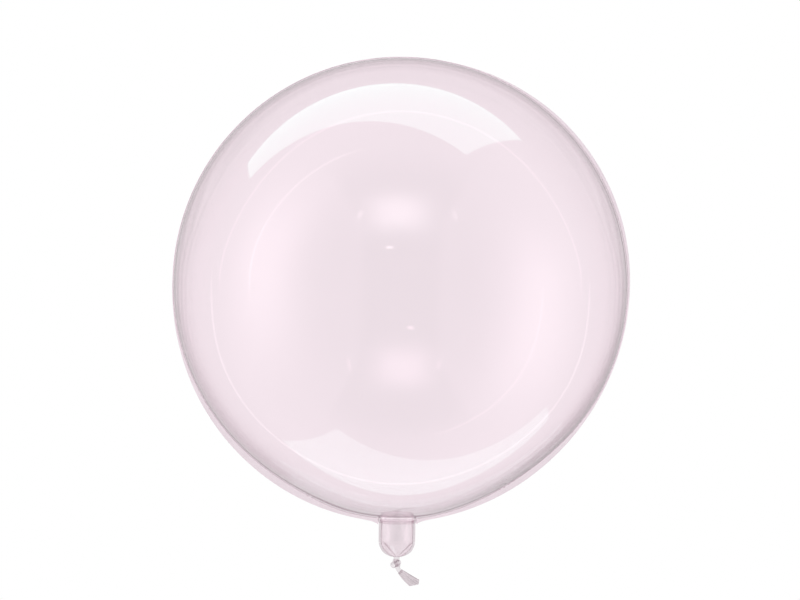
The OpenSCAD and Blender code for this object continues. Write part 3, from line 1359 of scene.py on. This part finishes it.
@dataclass
class Tail:
    """The cut end of the neck, which fans out in pleats below the knot; its lean is in degrees."""

    knot: Knot
    lean: float = 48.0
    length: float = 19.0 * MM
    root_length: float = 3.4 * MM
    root_radius: float = 2.2 * MM
    root_taper: float = 0.2 * MM
    root_right: float = 0.5 * MM
    root_rise: float = 1.6 * MM
    root_overlap: float = 1.2 * MM
    root_rounding: float = 0.06
    root_rows: int = 50
    root_ridges: Ridges = Ridges(lobes=5, wind=0.25, depth=0.2)
    root_width: float = 4.6 * MM
    end_width: float = 10.4 * MM
    width_growth: float = 0.8
    pleats: float = 3.0
    root_pleat: float = 0.55 * MM
    end_pleat: float = 1.25 * MM
    ply_overlap: float = 1.0 * MM
    point_length: float = 3.6 * MM
    point_place: float = 0.3
    drift: float = 0.5 * MM
    curl: float = 1.2 * MM
    gap: float = 0.35 * MM
    wall: float = 0.1 * MM
    rows: int = 60
    columns: int = 91

    def axes(self) -> tuple[Array, Array]:
        """The tail's own directions, in the plane of the weld.

        Returns:
            The directions along it and across it.
        """
        turn = math.radians(self.lean)
        along = np.array([math.sin(turn), 0.0, -math.cos(turn)])
        return along, np.array([math.cos(turn), 0.0, math.sin(turn)])

    def root(self) -> bpy.types.Object:
        """Builds the pinched strand from the knot into the tail, along a quadratic curve.

        Returns:
            The piece.
        """
        along, _ = self.axes()
        layout = self.knot.neck.ball.layout
        start = np.array([self.root_right, 0.0, layout.knot_bottom + self.root_rise])
        middle = layout.tail_root
        end = middle + along * (self.root_length + self.root_overlap)
        step = np.linspace(0.0, 1.0, self.root_rows)
        t = step[:, None]
        path = (1.0 - t) ** 2 * start + 2.0 * t * (1.0 - t) * middle + t**2 * end
        radius = (self.root_radius - self.root_taper * step) * round_ends(step, self.root_rounding)
        points = strand(path, BACKWARDS, self.root_ridges.on(radius, self.knot.columns))
        sheet = Sheet("tail_twist", points, columns_closed=True, flipped=True)
        piece = GATHERED_FILM.dress(sheet.build())
        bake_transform(piece, "knot", "tail", start=tuple(start), end=tuple(middle + along * 1.5 * MM))
        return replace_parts(piece, "tail_root")

    def ply_points(self, side: Side) -> Array:
        """A ply as a function of the share of its length and the share of its width.

        Its width grows along it, its pleats are a rounded zigzag that grows too, and its cut end
        runs out to a blunt point past the middle.

        Args:
            side: which film.

        Returns:
            The grid, from the root to the cut end.
        """
        along, across = self.axes()
        share = np.linspace(0.0, 1.0, self.rows)[:, None]
        place = np.linspace(-1.0, 1.0, self.columns)[None, :]
        widening = (self.end_width - self.root_width) * share**self.width_growth
        half = 0.5 * (self.root_width + widening)
        start = self.root_length - self.ply_overlap
        cut = self.point_length * np.maximum(1.0 - np.abs(place - self.point_place) / 0.95, -0.6)
        reach = start + (self.length - start + cut) * share
        lead = 0.8 * share + 0.2 * side.value
        saw = np.arcsin(0.96 * np.sin(np.pi * self.pleats * place + lead))
        depth = self.root_pleat + (self.end_pleat - self.root_pleat) * share
        drift = self.drift * np.sin(2.2 * share + 1.5 * place) * share
        aside = half * place * (1.0 + 0.04 * saw) + self.curl * share**2
        points = (self.knot.neck.ball.layout.tail_root + along * reach[..., None]
                  + across * aside[..., None])
        parted = side.value * self.gap * (0.6 + 0.8 * share)
        points[..., 1] += depth * saw / 1.57 + drift + parted
        return points

    def ply(self, side: Side) -> bpy.types.Object:
        """Builds and dresses one ply.

        Args:
            side: which film.

        Returns:
            The piece.
        """
        name = side.name.lower()
        sheet = Sheet(f"tail_{name}_ply", self.ply_points(side), wall=self.wall,
                      flipped=side is Side.BACK, crease_angle=75.0)
        piece = GATHERED_FILM.dress(sheet.build())
        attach(piece, "tail")
        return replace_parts(piece, f"tail_{name}_film")

    def build(self) -> list[bpy.types.Object]:
        """Builds the root and both plies."""
        return [self.root(), self.ply(Side.FRONT), self.ply(Side.BACK)]


# ---- The studio ----


@dataclass(frozen=True)
class Lamp:
    """A soft light in the studio, as a direction from the balloon and how wide and bright it is."""

    towards: Vector
    half_width: float
    half_height: float
    brightness: float


@dataclass(frozen=True)
class Bearings:
    """A direction in the studio: the vector, and how far it reaches right, up and to the camera."""

    ahead: bpy.types.NodeSocket
    right: bpy.types.NodeSocket
    up: bpy.types.NodeSocket
    to_camera: bpy.types.NodeSocket

    @classmethod
    def read(cls, s: Shader) -> "Bearings":
        """Reads the direction that the room is seen in.

        Args:
            s: the room's shader.

        Returns:
            The direction.
        """
        ahead = s.add("ShaderNodeTexCoord").outputs["Generated"]
        return cls(ahead=ahead, right=s.dot(ahead, RIGHTWARDS), up=s.dot(ahead, UPWARDS),
                   to_camera=s.dot(ahead, FORWARDS))


@dataclass
class Studio:
    """The plain white room round the balloon, its lights and the camera.

    The room is white to the camera and an even light to the floor. What the film mirrors is the
    room's dimmer side, seen from the balloon: dark behind the camera, pale beyond it, with a long
    softbox overhead. The camera's roll and the overhead lamp's tilt are in degrees.
    """

    layout: Layout
    camera_distance: float = 2.6
    camera_drop: float = 13.5 * MM
    camera_left: float = 0.25 * MM
    camera_roll: float = -0.82
    lens: float = 132.1
    sensor_width: float = 36.0
    floor_height: float = -0.9
    floor_radius: float = 3.3
    floor_light: float = 0.92
    floor_rows: int = 24
    floor_columns: int = 96
    lamp_power: float = 20.0
    lamp_size: float = 3.0
    lamp_place: Vector = (-0.4, -0.6, 2.4)
    lamp_tilt: tuple[float, float] = (-14.0, -9.0)
    room_tint: Colour = (1.0, 0.94, 0.965)
    shades: tuple[tuple[float, float], ...] = (
        (0.0, 0.22), (0.25, 0.30), (0.45, 0.42), (0.63, 0.62), (0.85, 0.70), (1.0, 0.68))
    stand_half_width: float = 0.33
    stand_waist: float = 0.56
    stand_splay: float = 0.55
    stand_shade: float = 0.15
    line_light: float = 0.9
    low_line_place: float = -0.34
    low_line_width: float = 0.012
    high_line_place: float = 0.156
    high_line_width: float = 0.010
    fold_count: float = 85.0
    fold_light: float = 0.06
    card_towards: Vector = (0.38, 0.88, -0.30)
    card_shade: float = 0.2
    softbox_corners: tuple[Vector, ...] = (
        (-0.646, 0.541, 0.538), (-0.744, 0.369, 0.557), (0.41, -0.113, 0.905),
        (0.547, 0.449, 0.706))
    softbox_colour: Colour = (1.35, 1.95, 1.72)
    lamp_edge: float = 2.6
    panels: tuple[Lamp, ...] = (
        Lamp(towards=(-0.945, -0.28, 0.15), half_width=0.36, half_height=0.60, brightness=0.9),
        Lamp(towards=(0.96, -0.22, -0.17), half_width=0.36, half_height=0.64, brightness=0.9),
        Lamp(towards=(-0.03, -0.77, 0.638), half_width=0.24, half_height=0.18, brightness=2.0),
    )
    glints: tuple[Lamp, ...] = (
        Lamp(towards=(-0.33, -0.72, 0.60), half_width=0.02, half_height=0.04, brightness=1.2),
        Lamp(towards=(0.42, -0.68, 0.60), half_width=0.02, half_height=0.05, brightness=1.1),
        Lamp(towards=(-0.096, -0.935, 0.34), half_width=0.03, half_height=0.014, brightness=3.0),
    )

    def softbox(self, s: Shader, ahead: bpy.types.NodeSocket) -> bpy.types.NodeSocket:
        """How much of the softbox lies in a direction.

        Args:
            s: the room's shader.
            ahead: the direction.

        Returns:
            1 within the four planes of its edges and 0 outside them, with a soft edge.
        """
        corners = [np.array(c) for c in self.softbox_corners]
        inside: object = 1.0
        middle = sum(corners)
        for first, second in zip(corners, corners[1:] + corners[:1]):
            edge = unit(np.cross(first, second))
            edge = edge * np.sign(edge @ middle)
            inside = s.math("MULTIPLY", inside, s.rise(s.dot(ahead, tuple(edge)), -0.008, 0.012))
        return inside

    def glow(self, s: Shader, ahead: bpy.types.NodeSocket, lamp: Lamp) -> bpy.types.NodeSocket:
        """How bright a soft lamp is in a direction: a flat-topped bell across it times one up it.

        Args:
            s: the room's shader.
            ahead: the direction.
            lamp: the lamp.

        Returns:
            Its brightness there.
        """
        middle = unit(np.array(lamp.towards))
        across = unit(np.cross(middle, np.array(UPWARDS)))
        up = np.cross(across, middle)
        wide = s.hump(s.dot(ahead, tuple(across)), 0.0, lamp.half_width, self.lamp_edge)
        tall = s.hump(s.dot(ahead, tuple(up)), 0.0, lamp.half_height, self.lamp_edge)
        near = s.rise(s.dot(ahead, tuple(middle)), 0.0, 0.2)
        shape = s.math("MULTIPLY", s.math("MULTIPLY", wide, tall), near)
        return s.math("MULTIPLY", shape, lamp.brightness)

    def shading(self, s: Shader, way: Bearings) -> bpy.types.NodeSocket:
        """The room's own light, in smooth steps from beside the camera to beyond the balloon.

        Args:
            s: the room's shader.
            way: the direction.

        Returns:
            The light.
        """
        turned = s.math("MULTIPLY_ADD", way.to_camera, -0.5, 0.5)
        ramp = s.add("ShaderNodeValToRGB", Fac=turned)
        ramp.color_ramp.interpolation = "EASE"
        stops = ramp.color_ramp.elements
        while len(stops) < len(self.shades):
            stops.new(0.5)
        for stop, (place, shade) in zip(stops, self.shades):
            stop.position, stop.color = place, (shade, shade, shade, 1.0)
        return ramp.outputs[0]

    def stand(self, s: Shader, way: Bearings) -> bpy.types.NodeSocket:
        """The dark column of the camera's stand, which widens above and below.

        Args:
            s: the room's shader.
            way: the direction.

        Returns:
            1 on the stand and 0 off it, with soft edges.
        """
        above = s.math("SUBTRACT", s.math("ABSOLUTE", way.up), self.stand_waist)
        spread = s.math("MAXIMUM", above, 0.0)
        half = s.math("MULTIPLY_ADD", spread, self.stand_splay, self.stand_half_width)
        beyond = s.math("SUBTRACT", s.math("ABSOLUTE", way.right), half)
        return s.math("MULTIPLY", s.rise(beyond, 0.03, -0.03), s.rise(way.to_camera, 0.1, 0.4))

    def lines(self, s: Shader, way: Bearings) -> bpy.types.NodeSocket:
        """The edges of the paper backdrop: a fine bright line low down and one high at the left.

        Args:
            s: the room's shader.
            way: the direction.

        Returns:
            1 on a line and 0 off it.
        """
        low = s.hump(way.to_camera, self.low_line_place, self.low_line_width)
        low = s.math("MULTIPLY", low, s.rise(way.up, 0.1, -0.1))
        high = s.hump(way.to_camera, self.high_line_place, self.high_line_width)
        left_and_up = s.math("MULTIPLY", s.rise(way.right, -0.15, -0.45), s.rise(way.up, -0.2, 0.1))
        return s.math("ADD", low, s.math("MULTIPLY", high, left_and_up))

    def folds(self, s: Shader, way: Bearings) -> bpy.types.NodeSocket:
        """Folds far back in the backdrop, mirrored as fine rings near the edge of the ball."""
        wave = s.math("SINE", s.math("MULTIPLY", way.to_camera, self.fold_count))
        return s.math("MULTIPLY", wave, s.rise(way.to_camera, -0.66, -0.74))

    def card(self, s: Shader, way: Bearings) -> bpy.types.NodeSocket:
        """A dark card low behind the balloon on the right, 1 in its middle."""
        middle = unit(np.array(self.card_towards))
        return s.rise(s.dot(way.ahead, tuple(middle)), 0.93, 0.99)

    def mirrored_level(self, s: Shader, way: Bearings) -> bpy.types.NodeSocket:
        """How bright the room is in a direction, as the film mirrors it, without the softbox.

        Args:
            s: the room's shader.
            way: the direction.

        Returns:
            The brightness.
        """
        level = self.shading(s, way)
        level = s.math("SUBTRACT", level, s.math("MULTIPLY", self.stand(s, way), self.stand_shade))
        level = s.math("ADD", level, s.math("MULTIPLY", self.lines(s, way), self.line_light))
        level = s.math("ADD", level, s.math("MULTIPLY", self.folds(s, way), self.fold_light))
        shaded = s.math("MULTIPLY_ADD", self.card(s, way), -self.card_shade, 1.0)
        level = s.math("MULTIPLY", level, shaded)
        for lamp in (*self.panels, *self.glints):
            level = s.math("ADD", level, self.glow(s, way.ahead, lamp))
        return level

    def room(self) -> None:
        """Makes the room: white to the camera, and shaded by direction for all else."""
        world = bpy.data.worlds.new("studio")
        bpy.context.scene.world = world
        world.use_nodes = True
        s = Shader(world.node_tree)
        way = Bearings.read(s)
        tint = s.add("ShaderNodeRGB").outputs[0]
        tint.default_value = (*self.room_tint, 1.0)
        tinted = s.scaled(tint, self.mirrored_level(s, way))
        seen = s.mix(self.softbox(s, way.ahead), tinted, self.softbox_colour)
        mirrored = s.add("ShaderNodeBackground", Color=seen)
        white = s.add("ShaderNodeBackground", Color=(1.0, 1.0, 1.0))
        plain = s.add("ShaderNodeBackground", Color=(self.floor_light,) * 3)
        path = s.add("ShaderNodeLightPath").outputs
        unseen = s.add("ShaderNodeMixShader", i0=path["Is Diffuse Ray"], i1=mirrored.outputs[0],
                       i2=plain.outputs[0])
        both = s.add("ShaderNodeMixShader", i0=path["Is Camera Ray"], i1=unseen.outputs[0],
                     i2=white.outputs[0])
        s.add("ShaderNodeOutputWorld", Surface=both.outputs[0])

    def floor_paint(self) -> bpy.types.Material:
        """Makes the floor's paint: pale and matt, thinning out to nothing towards its edge.

        Returns:
            The material.
        """
        paint = bpy.data.materials.new("pale_floor")
        paint.use_nodes = True
        s = Shader(paint.node_tree)
        place = s.add("ShaderNodeTexCoord").outputs["Object"]
        away = s.add("ShaderNodeVectorMath", {"operation": "LENGTH"}, i0=place).outputs["Value"]
        rough = s.add("ShaderNodeTexNoise", Vector=place, Scale=40.0).outputs[0]
        pale = s.mix(s.math("MULTIPLY", rough, 0.1), (0.95, 0.95, 0.95), (0.9, 0.9, 0.9))
        matt = s.add("ShaderNodeBsdfPrincipled", Base_Color=pale, Roughness=0.85)
        open_air = s.add("ShaderNodeBsdfTransparent", Color=(1.0, 1.0, 1.0))
        edge = s.rise(away, self.floor_radius * 0.98, self.floor_radius * 0.4)
        both = s.add("ShaderNodeMixShader", i0=edge, i1=open_air.outputs[0], i2=matt.outputs[0])
        s.add("ShaderNodeOutputMaterial", Surface=both.outputs[0])
        return paint

    def floor(self) -> None:
        """Makes the pale floor, a disc far enough below that the balloon floats over it."""
        turn = once_round(self.floor_columns)[None, :]
        reach = np.linspace(0.0, self.floor_radius, self.floor_rows)[:, None]
        points = np.stack([reach * np.cos(turn), reach * np.sin(turn),
                           np.full((self.floor_rows, self.floor_columns), self.floor_height)],
                          axis=-1)
        piece = Sheet("floor", points, columns_closed=True).build()
        piece.data.materials.append(self.floor_paint())
        piece.visible_glossy = False

    def lights(self) -> None:
        """Hangs one large soft lamp overhead, which the film doesn't mirror."""
        data = bpy.data.lights.new("overhead", "AREA")
        data.shape, data.size, data.energy = "DISK", self.lamp_size, self.lamp_power
        lamp = bpy.data.objects.new("overhead", data)
        lamp.location = self.lamp_place
        lamp.rotation_euler = (*(math.radians(tilt) for tilt in self.lamp_tilt), 0.0)
        lamp.visible_glossy = False
        bpy.context.scene.collection.objects.link(lamp)

    def camera(self) -> None:
        """Sets up a level camera in front, just below the ball's centre."""
        data = bpy.data.cameras.new("camera")
        data.lens, data.sensor_width = self.lens, self.sensor_width
        camera = bpy.data.objects.new("camera", data)
        camera.location = (-self.camera_left, -self.camera_distance,
                           self.layout.ball_height - self.camera_drop)
        camera.rotation_euler = (math.pi / 2.0, math.radians(self.camera_roll), 0.0)
        bpy.context.scene.collection.objects.link(camera)
        bpy.context.scene.camera = camera

    def build(self) -> None:
        """Sets up the whole studio."""
        scene = bpy.context.scene
        scene.view_settings.view_transform = "Standard"
        scene.cycles.transparent_max_bounces = 48
        self.room()
        self.floor()
        self.lights()
        self.camera()


def main() -> None:
    """Builds every piece and the studio."""
    logging.basicConfig(level=logging.INFO, format="%(message)s")
    layout = Layout.read()
    ball = Ball(layout)
    neck = Neck(ball)
    knot = Knot(neck)
    for group in (ball, Margin(ball), neck, knot, Tail(knot)):
        for piece in group.build():
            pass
    Studio(layout).build()


if __name__ == "__main__":
    main()
